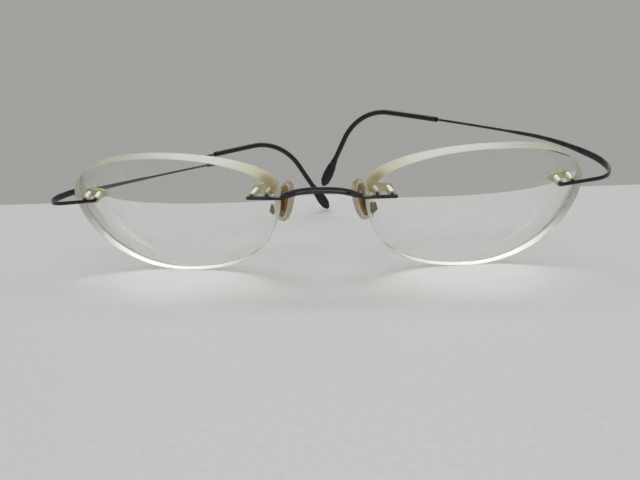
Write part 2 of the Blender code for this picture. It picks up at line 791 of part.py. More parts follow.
clear_scene()
PARTS = collection(OBJECT_NAME)
CUTTERS = collection("cutters")
CUTTERS.hide_render = True
FRAMES = {}
main()
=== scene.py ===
"""Looks for the rimless eyeglasses: lenses, metal strips, sleeves, nose pads, table, lamps and camera."""

import json
import math

import bmesh
import bpy
from mathutils import Matrix, Vector

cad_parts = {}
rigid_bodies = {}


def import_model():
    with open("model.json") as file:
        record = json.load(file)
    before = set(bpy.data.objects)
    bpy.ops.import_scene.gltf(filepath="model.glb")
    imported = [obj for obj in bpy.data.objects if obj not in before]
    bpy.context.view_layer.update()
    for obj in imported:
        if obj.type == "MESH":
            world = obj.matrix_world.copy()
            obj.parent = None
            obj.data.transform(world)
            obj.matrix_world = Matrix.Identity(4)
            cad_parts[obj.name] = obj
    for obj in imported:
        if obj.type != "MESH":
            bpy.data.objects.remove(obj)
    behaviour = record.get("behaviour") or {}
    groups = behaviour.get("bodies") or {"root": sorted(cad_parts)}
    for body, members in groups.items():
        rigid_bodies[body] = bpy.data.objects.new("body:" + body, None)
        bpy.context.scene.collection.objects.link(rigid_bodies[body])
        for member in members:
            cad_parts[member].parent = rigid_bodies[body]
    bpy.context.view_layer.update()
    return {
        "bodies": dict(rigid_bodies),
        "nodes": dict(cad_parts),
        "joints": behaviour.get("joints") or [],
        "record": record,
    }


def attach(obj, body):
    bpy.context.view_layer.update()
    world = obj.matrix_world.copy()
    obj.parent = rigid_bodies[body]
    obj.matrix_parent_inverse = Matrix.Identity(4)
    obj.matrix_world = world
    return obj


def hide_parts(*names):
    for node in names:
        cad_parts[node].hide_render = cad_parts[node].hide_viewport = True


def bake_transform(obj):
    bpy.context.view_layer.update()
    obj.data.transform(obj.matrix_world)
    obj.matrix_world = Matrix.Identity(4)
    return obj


MM = 0.001
SIDES = {"right": -1, "left": 1}
CREASE, SOFT_CREASE = 40, 50

# The assembly's own frame, as the CAD places it
ROOT = Vector((0.0444, -38.2674, -0.0163))

# Front
LENS_CENTRE = (37.0, -6.2, 15.0)
FRONT_TILT, FRONT_WRAP = 18.0, 8.0
OUTLINE_HUB = (2.4, 4.8)
OUTLINE_NASAL, OUTLINE_TEMPORAL = 28.15, 25.15
OUTLINE_BELOW = 20.9
OUTLINE_ABOVE = {"right": 10.8, "left": 11.1}
POWER_NASAL_ABOVE = 1.92
POWER_TEMPORAL_ABOVE = {"right": 2.1, "left": 2.5}
POWER_NASAL_BELOW, POWER_TEMPORAL_BELOW = 2.55, 1.97
FRONT_RADIUS, BACK_RADIUS, CENTRE_THICKNESS = 130.0, 64.0, 3.0
LENS_SEGMENTS = 224
LENS_SHARES = (0.02, 0.08, 0.16, 0.26, 0.36, 0.46, 0.56, 0.66, 0.75, 0.83, 0.9, 0.95, 0.98, 0.994)
EDGE_SHARES = (0.04, 0.2, 0.4, 0.6, 0.8, 0.96)
# The edge's downward faces take a darker, clearer copy of the frosted edge: painted shade
GLASS_SLOT, GROUND_SLOT, SHADED_EDGE_SLOT = 0, 1, 2
SHADED_EDGE_NORMAL = -0.25
HOLE_RADIUS = 0.85
DRILL_DEPTH, DRILL_MIDDLE, DRILL_SEGMENTS = 26, -2.0, 32
PLUG_PROUD = 0.2
NASAL_PINS = {"right": ((-24.0, 5.35), (-20.5, 5.35)), "left": ((-24.0, 5.1), (-20.5, 5.1))}

# Bridge
BRIDGE_REACH, BRIDGE_LIFT = 18.0, 0.45
BRIDGE_ARCH, BRIDGE_ARCH_REACH, BRIDGE_ARCH_POWER = 1.85, 9.8, 2.6
BRIDGE_EASE = 8.0
BRIDGE_END_SIZE, BRIDGE_MIDDLE_SIZE = (0.72, 0.95), (1.5, 0.85)
BRIDGE_TWIST = (9.6, 7.9)
BRIDGE_ROUNDING, BRIDGE_END_CUT = 0.35, 0.92
BRIDGE_END_STATIONS, BRIDGE_STEP = (0.0, 0.04, 0.12, 0.22), 0.3
BRIDGE_SEGMENTS, BRIDGE_SQUARENESS = 88, 4.2
TANGENT_REACH = 0.1
LEDGE_DEPTH, LEDGE_FOOT, LEDGE_TOP = 0.3, -0.1, 0.2
LEDGE_RUN, LEDGE_FADE = 0.2, 2.5

# Temples
TEMPLE_START, TEMPLE_LIFT = 20.5, 0.85
TEMPLE_PINS = (0.55, 3.95)
LEG_LENGTH, LEG_TURN = 9.9, 4.2
BEND_RADIUS, SWEEP_RADIUS, RISE_EASE = 7.1, 12.5, 28.0
TEMPLE_LENGTH, TEMPLE_STEP, SLEEVE_START, CORE_END = 125.7, 0.1, 61.5, 16.0
TEMPLE_FIELDS = ("height", "leg", "start", "rise", "sweep", "rear", "ear_start", "ear_radius", "drop")
TEMPLES = {
    "right": dict(zip(TEMPLE_FIELDS, (4.6, -4.9, 8.0, 6.9, 114.9, 152.7, 78.8, 22.1, 55.0))),
    "left": dict(zip(TEMPLE_FIELDS, (6.05, 5.9, 23.2, 8.2, 118.6, 159.0, 81.9, 18.6, 61.9))),
}
# Length past the bend's apex, height, thickness and squareness
STRIP_SECTIONS = (
    (-20.0, 0.85, 0.62, 4.0),
    (-7.0, 0.95, 0.6, 4.0),
    (-2.0, 1.5, 0.58, 4.5),
    (1.5, 1.7, 0.55, 4.5),
    (8.0, 1.6, 0.55, 4.5),
    (14.0, 1.32, 0.56, 4.0),
    (22.0, 1.12, 0.6, 3.6),
    (30.0, 1.05, 0.65, 3.0),
    (36.0, 0.82, 0.78, 2.1),
    (200.0, 0.78, 0.78, 2.0),
)
STRIP_ROUNDING, STRIP_END_CUT, STRIP_END_STATIONS = 0.4, 0.9, (0.0, 0.05, 0.14, 0.26)
STRIP_STRETCHES, STRIP_STEPS = (-8, 16, 60), (0.8, 0.4, 1.0, 1.5)
STRIP_SEGMENTS, SLEEVE_SEGMENTS = 16, 24
PADDLE_LENGTH, TIP_LENGTH, SLEEVE_STEPS = 16, 2, (1.2, 0.6, 0.2)
LIP_LENGTH = 0.3
# Length into the sleeve, and shares of its height and thickness
SLEEVE_LIP = (
    (3.0, 0.62, 0.62),
    (0.15, 0.62, 0.62),
    (0.0, 0.72, 0.72),
    (0.0, 0.9, 0.9),
    (0.1, 0.98, 0.98),
)
# Length before the tip, height and thickness
SLEEVE_SECTIONS = (
    (70.0, 1.75, 1.75),
    (40.0, 1.8, 1.8),
    (13.0, 1.9, 1.85),
    (10.5, 2.6, 1.85),
    (8.0, 3.7, 1.7),
    (5.0, 4.15, 1.55),
    (2.2, 3.7, 1.45),
    (0.7, 2.3, 1.2),
    (0.0, 1.0, 0.7),
)

# Nose pads
PAD_CENTRE = (9.8, 1.5, 17.6)
PAD_LONG_AXIS = (-2.7, -2.5, 10.0)
PAD_SPLAY = 34.0
PAD_LENGTH, PAD_WIDTH, PAD_BACK = 11.4, 6.1, -0.9
PAD_SEGMENTS, PAD_SQUARENESS = 48, 2.2
# Height above the pad's middle, and share of its width and length
PAD_LEVELS = (
    (-0.9, 0.86),
    (-0.86, 0.91),
    (-0.74, 0.95),
    (-0.55, 0.98),
    (-0.3, 0.99),
    (0.0, 1.0),
    (0.3, 0.985),
    (0.6, 0.93),
    (0.85, 0.84),
    (1.03, 0.72),
    (1.15, 0.56),
    (1.22, 0.38),
    (1.25, 0.15),
)
CORE_LENGTH, CORE_WIDTH, CORE_THICKNESS, POCKET_GAP = 9.0, 4.5, 0.8, 0.08
# Height above the pad's back, and what the outline is smaller by
CORE_LEVELS = ((0.0, 0.3), (0.06, 0.1), (0.16, 0.0), (0.64, 0.0), (0.74, 0.1), (0.8, 0.3))
POCKET_BEVEL, POCKET_FLARE = 0.12, 0.16
TAB_SIZE, TAB_ROOT, TAB_BEVEL = (0.8, 1.5, 2.05), 0.3, 0.12
HUB_DROP, BOX_OFFSET = 1.4, 1.9
ARM_RADIUS, ARM_START, ARM_SEGMENTS, ARM_SPAN_STEPS = 0.4, 9.3, 16, 10
ARM_GAP, ARM_LIFT = 0.12, 0.25
ARM_END, ARM_LAST_DROP = (0, 1.22, -0.3), (0, 0.9, 0)
ARM_ROUTE = ((9.3, -8.0, 21.2), (9.45, -6.2, 20.7), (9.6, -4.6, 19.5), (9.9, -2.3, 18.8), (10.6, -0.5, 18.5))

# Camera and stage
CAMERA_AT = (4.679, -131.509, 38.305)
CAMERA_PITCH, CAMERA_YAW, CAMERA_ROLL = 13.21, -2.527, 1.634
CAMERA_LENS, CAMERA_SENSOR = 29.14, 36.0
CAMERA_CLIP = (0.005, 20.0)
WALL_LINE = ((-168.0, 122.0), (161.0, 145.0))
TABLE_REACH = 1500
# Name, place in metres, size and power
LAMPS = (
    ("behind", (0.0, 0.5, 0.72), (0.9, 0.2), 2.35),
    ("overhead", (-0.1, -0.1, 0.8), (0.7, 0.35), 0.45),
    ("front", (0.1, -0.6, 0.56), (0.9, 0.16), 0.95),
)
ROOM_GREY, ROOM_DARK = (0.36, 0.362, 0.348, 1), (0.06, 0.06, 0.06, 1)
ROOM_FADE = (-0.1, -0.55)

# Materials: where noise is cut off, and the index of the lenses
SPREAD_CUT, COLOUR_CUT = (0.3, 0.7), (0.35, 0.65)
SOLID_ROUGH_SCALE, SOLID_GRAIN_SCALE = 1.7, 5
CLEAR_ROUGH_SCALE, CLEAR_GRAIN_SCALE, CLEAR_DARKER = 2, 6, 0.965
LENS_INDEX = 1.5
CLEAR_GRAIN, SOLID_GRAIN = 0.00002, 0.00003
TEMPORAL_CORNER, NASAL_MOUNT = (22.0, 12.0, -3.0), (-25.0, 8.0, -4.0)
YELLOW_REACH, NASAL_REACH, BROWN_REACH, FULL_SHARE = 0.02, 0.014, 0.0045, 0.25


def clear_scene():
    for obj in list(bpy.data.objects):
        bpy.data.objects.remove(obj)


# ---------------------------------------------------------------- shapes


def smoothstep(t):
    t = max(0.0, min(t, 1.0))
    return t * t * (3 - 2 * t)


def blended(sections, at):
    rows = sorted(sections)
    for low, high in zip(rows, rows[1:]):
        if at <= high[0]:
            t = smoothstep((at - low[0]) / (high[0] - low[0]))
            return [a + (b - a) * t for a, b in zip(low[1:], high[1:])]
    return rows[-1][1:]


def spaced(start, end, step):
    count = max(1, round(abs(end - start) / step))
    return [start + (end - start) * i / count for i in range(count + 1)]


def stretches(ends, steps):
    """Stations from each end to the next, spaced by that stretch's step."""
    stations = []
    for start, end, step in zip(ends, ends[1:], steps):
        stations = stations[:-1] + spaced(start, end, step)
    return stations


def rounded_end(t, cut):
    """Share of the full section at t, 0 to 1, into a rounded end."""
    return math.sqrt(1 - (1 - t) ** 2 * cut)


def section(centre, axis_a, axis_b, size_a, size_b, count, squareness=2.0):
    points = []
    for i in range(count):
        turn = math.tau * (i + 0.5) / count
        a, b = math.cos(turn), math.sin(turn)
        a = math.copysign(abs(a) ** (2 / squareness), a) * size_a / 2
        b = math.copysign(abs(b) ** (2 / squareness), b) * size_b / 2
        points.append(centre + axis_a * a + axis_b * b)
    return points


def even_section(centre, axis_a, axis_b, size_a, size_b, count, squareness):
    """Like section, with as many points across the flats as round the corners."""
    points = []
    for i in range(count):
        turn = math.tau * (i + 0.5) / count
        a, b = math.cos(turn), math.sin(turn)
        reach = (abs(a) ** squareness + abs(b) ** squareness) ** (-1 / squareness)
        a, b = a * reach * size_a / 2, b * reach * size_b / 2
        points.append(centre + axis_a * a + axis_b * b)
    return points


def loft(rings, slots=None):
    """A closed skin through rings in millimetres; slots gives each band's material index."""
    bm = bmesh.new()
    rows = [[bm.verts.new(point * MM) for point in ring] for ring in rings]
    count = len(rows[0])
    for number, (first, second) in enumerate(zip(rows, rows[1:])):
        for i in range(count):
            j = (i + 1) % count
            face = bm.faces.new((first[i], first[j], second[j], second[i]))
            face.material_index = slots[number] if slots else 0
    bm.faces.new(reversed(rows[0]))
    bm.faces.new(rows[-1])
    bmesh.ops.recalc_face_normals(bm, faces=bm.faces)
    return bm


def piece(name, bm, body, materials, replaced, sharp=CREASE):
    mesh = bpy.data.meshes.new(name)
    bm.to_mesh(mesh)
    bm.free()
    for finish in materials:
        mesh.materials.append(finish)
    mesh.shade_smooth()
    mesh.set_sharp_from_angle(angle=math.radians(sharp))
    obj = bpy.data.objects.new(name, mesh)
    bpy.context.scene.collection.objects.link(obj)
    if body:
        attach(obj, body)
    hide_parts(*replaced)
    return obj


def sag(radius, from_axis):
    return radius - math.sqrt(radius * radius - from_axis * from_axis)


def front_height(x, y):
    return -sag(FRONT_RADIUS, math.hypot(x, y))


def back_height(x, y):
    return -CENTRE_THICKNESS - sag(BACK_RADIUS, math.hypot(x, y))


def lens_frame(side):
    """Lens frame in millimetres: X to the wearer's left, Y up the lens, Z out of its front."""
    tilt, wrap = math.radians(FRONT_TILT), math.radians(FRONT_WRAP)
    x_axis = Vector((math.cos(wrap), side * math.sin(wrap), 0))
    lean = math.sin(tilt)
    y_axis = Vector((side * math.sin(wrap) * lean, -math.cos(wrap) * lean, math.cos(tilt)))
    z_axis = x_axis.cross(y_axis)
    frame = Matrix((x_axis, y_axis, z_axis)).transposed().to_4x4()
    x, y, z = LENS_CENTRE
    frame.translation = Vector((side * x, y, z)) + ROOT
    return frame


def outline_point(word, turn):
    c, s = math.cos(turn), math.sin(turn)
    if c >= 0:
        reach, power = OUTLINE_TEMPORAL, POWER_TEMPORAL_ABOVE[word] if s >= 0 else POWER_TEMPORAL_BELOW
    else:
        reach, power = OUTLINE_NASAL, POWER_NASAL_ABOVE if s >= 0 else POWER_NASAL_BELOW
    height = OUTLINE_ABOVE[word] if s >= 0 else OUTLINE_BELOW
    return (
        math.copysign(reach * abs(c) ** (2 / power), c),
        math.copysign(height * abs(s) ** (2 / power), s),
    )


def lens_ring(word, side, share, height):
    points = []
    for i in range(LENS_SEGMENTS):
        dx, dy = outline_point(word, math.tau * i / LENS_SEGMENTS)
        x, y = OUTLINE_HUB[0] + dx * share, OUTLINE_HUB[1] + dy * share
        points.append(Vector((side * x, y, height(x, y))))
    return points


def lens_rings(word, side):
    """Front surface outward, a small bevel, the ground edge, a bevel, and the back surface inward."""
    rings = [lens_ring(word, side, share, front_height) for share in LENS_SHARES]
    for t in EDGE_SHARES:
        rings.append(
            lens_ring(word, side, 1.0, lambda x, y: front_height(x, y) * (1 - t) + back_height(x, y) * t)
        )
    rings += [lens_ring(word, side, share, back_height) for share in reversed(LENS_SHARES)]
    faces = [GLASS_SLOT] * (len(LENS_SHARES) - 1)
    return rings, faces + [GROUND_SLOT] * (len(EDGE_SHARES) + 1) + faces


def drill(frame, pins, side):
    bm = bmesh.new()
    for x, y in pins:
        place = frame @ Matrix.Translation((side * x, y, DRILL_MIDDLE))
        bmesh.ops.create_cone(
            bm,
            cap_ends=True,
            segments=DRILL_SEGMENTS,
            radius1=HOLE_RADIUS,
            radius2=HOLE_RADIUS,
            depth=DRILL_DEPTH,
            matrix=Matrix.Diagonal((MM, MM, MM, 1)) @ place,
        )
    for face in bm.faces:
        face.material_index = GROUND_SLOT
    mesh = bpy.data.meshes.new("drill")
    bm.to_mesh(mesh)
    bm.free()
    obj = bpy.data.objects.new("drill", mesh)
    bpy.context.scene.collection.objects.link(obj)
    return obj


def carve(obj, cutter):
    modifier = obj.modifiers.new("holes", "BOOLEAN")
    modifier.operation = "DIFFERENCE"
    modifier.object = cutter
    bpy.context.view_layer.update()
    evaluated = obj.evaluated_get(bpy.context.evaluated_depsgraph_get())
    carved = bpy.data.meshes.new_from_object(evaluated)
    obj.modifiers.clear()
    obj.data = carved
    bpy.data.objects.remove(cutter)


def lens(word, side, pins, finishes_used):
    """Clear faces, a frosted edge whose downward faces get a darker, clearer copy of its material as painted
    shade, and four drilled holes.
    """
    frame = lens_frame(side)
    rings, slots = lens_rings(word, side)
    bm = loft([[frame @ point for point in ring] for ring in rings], slots)
    # Edge faces pointing down get the darker, clearer copy of the frosted edge, as painted shade
    for face in bm.faces:
        if face.material_index == GROUND_SLOT and face.normal.z < SHADED_EDGE_NORMAL:
            face.material_index = SHADED_EDGE_SLOT
    glass = piece(f"{word}_lens_glass", bm, None, finishes_used, (f"{word}_lens",), SOFT_CREASE)
    carve(glass, drill(frame, pins, side))
    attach(glass, "front")
    return glass


# ---------------------------------------------------------------- bridge


def bridge_anchor(word):
    side = SIDES[word]
    x, y = NASAL_PINS[word][0]
    outer_x, outer_y = NASAL_PINS[word][1]
    height = front_height(outer_x, outer_y) + PLUG_PROUD + BRIDGE_LIFT + BRIDGE_END_SIZE[1] / 2
    return lens_frame(side) @ Vector((side * x, y, height)) - ROOT


def bridge_point(x):
    right, left = bridge_anchor("right"), bridge_anchor("left")
    t = (x - right.x) / (left.x - right.x)
    slope = math.tan(math.radians(FRONT_WRAP))
    y = left.y + slope * (math.hypot(x, BRIDGE_EASE) - math.hypot(left.x, BRIDGE_EASE))
    lift = 1 - min(abs(x) / BRIDGE_ARCH_REACH, 1) ** BRIDGE_ARCH_POWER
    return Vector((x, y, right.z + (left.z - right.z) * t + BRIDGE_ARCH * lift)) + ROOT


def bridge_section(x):
    outer, inner = BRIDGE_TWIST
    t = smoothstep((outer - abs(x)) / (outer - inner))
    height, depth = (a + (b - a) * t for a, b in zip(BRIDGE_END_SIZE, BRIDGE_MIDDLE_SIZE))
    end = max(0.0, min((BRIDGE_REACH - abs(x)) / BRIDGE_ROUNDING, 1.0))
    rounding = rounded_end(end, BRIDGE_END_CUT)
    return height * rounding, depth * rounding


def stepped(point, middle, up, ahead, fade):
    """Sets the upper half of the arch's front face back, with a sloping ledge that catches the light."""
    offset = point - middle
    share = (offset.dot(up) - LEDGE_FOOT) / (LEDGE_TOP - LEDGE_FOOT)
    forward = max(0.0, min(offset.dot(ahead) / LEDGE_RUN, 1.0))
    return point - ahead * (LEDGE_DEPTH * fade * forward * max(0.0, min(share, 1.0)))


def bridge(finish):
    tilt = math.radians(FRONT_TILT)
    depth_axis = Vector((0, math.cos(tilt), math.sin(tilt)))
    stations = [-BRIDGE_REACH + inset for inset in BRIDGE_END_STATIONS]
    stations += spaced(-BRIDGE_REACH + BRIDGE_ROUNDING, BRIDGE_REACH - BRIDGE_ROUNDING, BRIDGE_STEP)
    stations += [BRIDGE_REACH - inset for inset in reversed(BRIDGE_END_STATIONS)]
    rings = []
    for x in stations:
        middle = bridge_point(x)
        along = (bridge_point(x + TANGENT_REACH) - bridge_point(x - TANGENT_REACH)).normalized()
        up = along.cross(depth_axis).normalized()
        ahead = along.cross(up).normalized()
        size = bridge_section(x)
        ring = even_section(middle, up, ahead, *size, BRIDGE_SEGMENTS, BRIDGE_SQUARENESS)
        fade = smoothstep((BRIDGE_TWIST[1] - abs(x)) / LEDGE_FADE)
        rings.append([stepped(point, middle, up, ahead, fade) for point in ring])
    return piece("bridge_bar", loft(rings), "front", (finish,), ("bridge",))


# ---------------------------------------------------------------- temples


def bend_apex():
    return LEG_LENGTH + math.radians(90 - FRONT_WRAP - LEG_TURN) * BEND_RADIUS


def temple_reach():
    return bend_apex() + TEMPLE_LENGTH


def heading_at(s, shape):
    leg = FRONT_WRAP + LEG_TURN
    sweep_end = bend_apex() + math.radians(shape["sweep"] - 90) * SWEEP_RADIUS
    if s < LEG_LENGTH:
        return leg
    if s < bend_apex():
        return leg + math.degrees((s - LEG_LENGTH) / BEND_RADIUS)
    if s < sweep_end:
        return 90 + math.degrees((s - bend_apex()) / SWEEP_RADIUS)
    t = (s - sweep_end) / (temple_reach() - sweep_end)
    return shape["sweep"] + (shape["rear"] - shape["sweep"]) * t


def elevation_at(s, shape):
    past = s - bend_apex()
    if s < LEG_LENGTH:
        return shape["leg"]
    if past < 0:
        t = (s - LEG_LENGTH) / (bend_apex() - LEG_LENGTH)
        return shape["leg"] + (shape["start"] - shape["leg"]) * t
    if past < shape["ear_start"]:
        t = min(past / RISE_EASE, 1)
        return shape["start"] + (shape["rise"] - shape["start"]) * t
    dropped = math.degrees((past - shape["ear_start"]) / shape["ear_radius"])
    return max(shape["rise"] - dropped, -shape["drop"])


def temple_points(word, side):
    """Middle line of a temple: (length past the bend's apex, point, direction), in millimetres."""
    shape = TEMPLES[word]
    x, y = TEMPLE_START, shape["height"]
    point = lens_frame(side) @ Vector((side * x, y, front_height(x, y) + TEMPLE_LIFT))
    steps = round(temple_reach() / TEMPLE_STEP)
    line = []
    for i in range(steps + 1):
        s = temple_reach() * i / steps
        turn = math.radians(heading_at(s, shape))
        slope = math.radians(elevation_at(s, shape))
        flat = math.cos(slope)
        along = Vector((side * math.cos(turn) * flat, math.sin(turn) * flat, math.sin(slope)))
        line.append((s - bend_apex(), point.copy(), along))
        point += along * (temple_reach() / steps)
    return line


def nearest(line, past):
    first = line[0][0]
    index = round((past - first) / (line[-1][0] - first) * (len(line) - 1))
    return line[max(0, min(index, len(line) - 1))]


def across_line(line, past):
    at, point, along = nearest(line, past)
    across = along.cross(Vector((0, 0, 1))).normalized()
    return at, point, across.cross(along).normalized(), across


def temple_strip(word, line, finish):
    """Leg and wire as the one strip that they are."""
    start, end = -bend_apex(), TEMPLE_LENGTH - CORE_END
    stations = [start + inset for inset in STRIP_END_STATIONS]
    stations += stretches((start + STRIP_ROUNDING, *STRIP_STRETCHES, end), STRIP_STEPS)
    rings = []
    for past in stations:
        at, point, up, across = across_line(line, past)
        height, thickness, squareness = blended(STRIP_SECTIONS, at)
        end_share = max(0.0, min((past - start) / STRIP_ROUNDING, 1.0))
        rounding = rounded_end(end_share, STRIP_END_CUT)
        size = (height * rounding, thickness * rounding)
        rings.append(section(point, up, across, *size, STRIP_SEGMENTS, squareness))
    strip = piece(
        f"{word}_temple_strip",
        loft(rings),
        None,
        (finish,),
        (f"{word}_temple_leg", f"{word}_temple_wire"),
    )
    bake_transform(strip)
    return strip


def sleeve(word, line, finish):
    """A moulded tube with an open front lip, ending in the flat paddle."""
    height, thickness = blended(SLEEVE_SECTIONS, TEMPLE_LENGTH - SLEEVE_START)
    rings = []
    for past, share_a, share_b in SLEEVE_LIP:
        _, point, up, across = across_line(line, SLEEVE_START + past)
        size = (height * share_a, thickness * share_b)
        rings.append(section(point, up, across, *size, SLEEVE_SEGMENTS))
    paddle, tip = TEMPLE_LENGTH - PADDLE_LENGTH, TEMPLE_LENGTH - TIP_LENGTH
    for past in stretches((SLEEVE_START + LIP_LENGTH, paddle, tip, TEMPLE_LENGTH), SLEEVE_STEPS):
        at, point, up, across = across_line(line, past)
        size = blended(SLEEVE_SECTIONS, TEMPLE_LENGTH - at)
        rings.append(section(point, up, across, *size, SLEEVE_SEGMENTS))
    return piece(
        f"{word}_tip_sleeve",
        loft(rings),
        f"{word}_temple",
        (finish,),
        (f"{word}_temple_sleeve",),
    )


def temple_pin_places(side, line):
    """Where the temple's pins go through the lens, in the lens frame."""
    to_lens = lens_frame(side).inverted()
    places = []
    for distance in TEMPLE_PINS:
        local = to_lens @ nearest(line, distance - bend_apex())[1]
        places.append((side * local.x, local.y))
    return places


# ---------------------------------------------------------------- nose pads


def pad_frame(side):
    x, y, z = PAD_LONG_AXIS
    long_axis = Vector((side * x, y, z)).normalized()
    splay = math.radians(PAD_SPLAY)
    face = Vector((-side * math.cos(splay), math.sin(splay), 0))
    face = (face - long_axis * face.dot(long_axis)).normalized()
    frame = Matrix((long_axis.cross(face), long_axis, face)).transposed().to_4x4()
    x, y, z = PAD_CENTRE
    frame.translation = Vector((side * x, y, z)) + ROOT
    return frame


def pad_section(frame, height, width, length):
    centre, across, along = Vector((0, 0, height)), Vector((1, 0, 0)), Vector((0, 1, 0))
    ring = section(centre, across, along, width, length, PAD_SEGMENTS, PAD_SQUARENESS)
    return [frame @ point for point in ring]


def pad_skin(word, side, finish):
    """Clear silicone: a domed bearing face, a rolled rim, and a pocket for the core in its back."""
    frame = pad_frame(side)
    floor = PAD_BACK + CORE_THICKNESS + POCKET_GAP
    pocket = (CORE_WIDTH + 2 * POCKET_GAP, CORE_LENGTH + 2 * POCKET_GAP)
    levels = [(floor, *pocket), (PAD_BACK + POCKET_BEVEL, *pocket)]
    levels.append((PAD_BACK, pocket[0] + POCKET_FLARE, pocket[1] + POCKET_FLARE))
    levels += [(height, PAD_WIDTH * share, PAD_LENGTH * share) for height, share in PAD_LEVELS]
    skin = piece(
        f"{word}_silicone_pad",
        loft([pad_section(frame, *level) for level in levels]),
        f"{word}_pad",
        (finish,),
        (f"{word}_pad_skin",),
        SOFT_CREASE,
    )
    return skin


def pad_core(word, side, finish):
    """Amber plate that almost fills the pad's back, with the tab that the screw holds."""
    frame = pad_frame(side)
    rings = []
    for height, inset in CORE_LEVELS:
        rings.append(pad_section(frame, PAD_BACK + height, CORE_WIDTH - inset, CORE_LENGTH - inset))
    bm = loft(rings)
    tab = Matrix.Translation((0, -HUB_DROP, PAD_BACK + TAB_ROOT - TAB_SIZE[2] / 2))
    tab = Matrix.Diagonal((MM, MM, MM, 1)) @ frame @ tab @ Matrix.Diagonal((*TAB_SIZE, 1))
    block = bmesh.ops.create_cube(bm, size=1.0, matrix=tab)
    edges = {edge for vert in block["verts"] for edge in vert.link_edges}
    bmesh.ops.bevel(bm, geom=list(edges), offset=TAB_BEVEL * MM, segments=2, affect="EDGES", profile=0.5)
    return piece(f"{word}_amber_core", bm, f"{word}_pad", (finish,), (f"{word}_pad_core",))


def smooth_route(points, per_span):
    """A smooth curve through the points."""
    ends = [points[0] * 2 - points[1]] + list(points) + [points[-1] * 2 - points[-2]]
    route = []
    for a, b, c, d in zip(ends, ends[1:], ends[2:], ends[3:]):
        for i in range(per_span):
            t = i / per_span
            slope, curve = c - a, a * 2 - b * 5 + c * 4 - d
            cubic = b * 3 - a - c * 3 + d
            route.append((b * 2 + slope * t + curve * t**2 + cubic * t**3) / 2)
    return route + [points[-1]]


def pad_arm(word, side, finish):
    behind_bar = BRIDGE_END_SIZE[1] / 2 + ARM_RADIUS + ARM_GAP
    start = bridge_point(side * ARM_START) + Vector((0, behind_bar, ARM_LIFT))
    hub = pad_frame(side) @ Matrix.Translation((0, -HUB_DROP, -BOX_OFFSET))
    end = hub @ Vector(ARM_END)
    above = end + hub.to_3x3() @ Vector(ARM_LAST_DROP)
    route = [start] + [Vector((side * x, y, z)) + ROOT for x, y, z in ARM_ROUTE] + [above, end]
    route = smooth_route(route, ARM_SPAN_STEPS)
    rings = []
    for before, here, after in zip([route[0]] + route, route, route[1:] + [route[-1]]):
        along = (after - before).normalized()
        across = along.cross(Vector((0.1, 0, 1))).normalized()
        up = across.cross(along).normalized()
        rings.append(section(here, up, across, 2 * ARM_RADIUS, 2 * ARM_RADIUS, ARM_SEGMENTS))
    return piece(f"{word}_pad_wire", loft(rings), "front", (finish,), (f"{word}_pad_arm",))


# ---------------------------------------------------------------- materials


def new_material(name):
    made = bpy.data.materials.new(name)
    made.use_nodes = True
    tree = made.node_tree
    return made, tree, tree.nodes["Principled BSDF"]


def noise(tree, scale, detail=3.0):
    place = tree.nodes.new("ShaderNodeTexCoord")
    texture = tree.nodes.new("ShaderNodeTexNoise")
    texture.inputs["Scale"].default_value = scale
    texture.inputs["Detail"].default_value = detail
    tree.links.new(place.outputs["Object"], texture.inputs["Vector"])
    return texture.outputs["Fac"]


def spread(tree, value, low, high):
    """Maps a noise value to a range."""
    node = tree.nodes.new("ShaderNodeMapRange")
    node.inputs["From Min"].default_value, node.inputs["From Max"].default_value = SPREAD_CUT
    node.inputs["To Min"].default_value = low
    node.inputs["To Max"].default_value = high
    tree.links.new(value, node.inputs["Value"])
    return node.outputs["Result"]


def colours(tree, value, low, high):
    node = tree.nodes.new("ShaderNodeValToRGB")
    for element, position, colour in zip(node.color_ramp.elements, COLOUR_CUT, (low, high)):
        element.position = position
        element.color = (*colour, 1)
    tree.links.new(value, node.inputs["Fac"])
    return node.outputs["Color"]


def bump(tree, shader, value, strength, distance):
    node = tree.nodes.new("ShaderNodeBump")
    node.inputs["Strength"].default_value = strength
    node.inputs["Distance"].default_value = distance
    tree.links.new(value, node.inputs["Height"])
    tree.links.new(node.outputs["Normal"], shader.inputs["Normal"])


def solid(name, low, high, rough, metallic=0.0, scale=900.0, bumpiness=0.1):
    """Colour and roughness that vary a little, with a fine surface grain."""
    made, tree, shader = new_material(name)
    patches = noise(tree, scale)
    tree.links.new(colours(tree, patches, low, high), shader.inputs["Base Color"])
    tree.links.new(spread(tree, noise(tree, scale * SOLID_ROUGH_SCALE), *rough), shader.inputs["Roughness"])
    shader.inputs["Metallic"].default_value = metallic
    bump(tree, shader, noise(tree, scale * SOLID_GRAIN_SCALE, 2.0), bumpiness, SOLID_GRAIN)
    return made


def see_through(name, tint, rough, transmission, ior, passing, scale=400.0, bumpiness=0.0):
    """Clear material; to a lamp's shadow rays it is a filter of the colour passing."""
    made, tree, shader = new_material(name)
    low = tuple(channel * CLEAR_DARKER for channel in tint)
    tree.links.new(colours(tree, noise(tree, scale), low, tint), shader.inputs["Base Color"])
    tree.links.new(spread(tree, noise(tree, scale * CLEAR_ROUGH_SCALE), *rough), shader.inputs["Roughness"])
    shader.inputs["Transmission Weight"].default_value = transmission
    shader.inputs["IOR"].default_value = ior
    if bumpiness:
        bump(tree, shader, noise(tree, scale * CLEAR_GRAIN_SCALE, 2.0), bumpiness, CLEAR_GRAIN)
    clear = tree.nodes.new("ShaderNodeBsdfTransparent")
    clear.inputs["Color"].default_value = (*passing, 1)
    path = tree.nodes.new("ShaderNodeLightPath")
    mix = tree.nodes.new("ShaderNodeMixShader")
    tree.links.new(path.outputs["Is Shadow Ray"], mix.inputs["Fac"])
    tree.links.new(shader.outputs["BSDF"], mix.inputs[1])
    tree.links.new(clear.outputs["BSDF"], mix.inputs[2])
    tree.links.new(mix.outputs["Shader"], tree.nodes["Material Output"].inputs["Surface"])
    return made


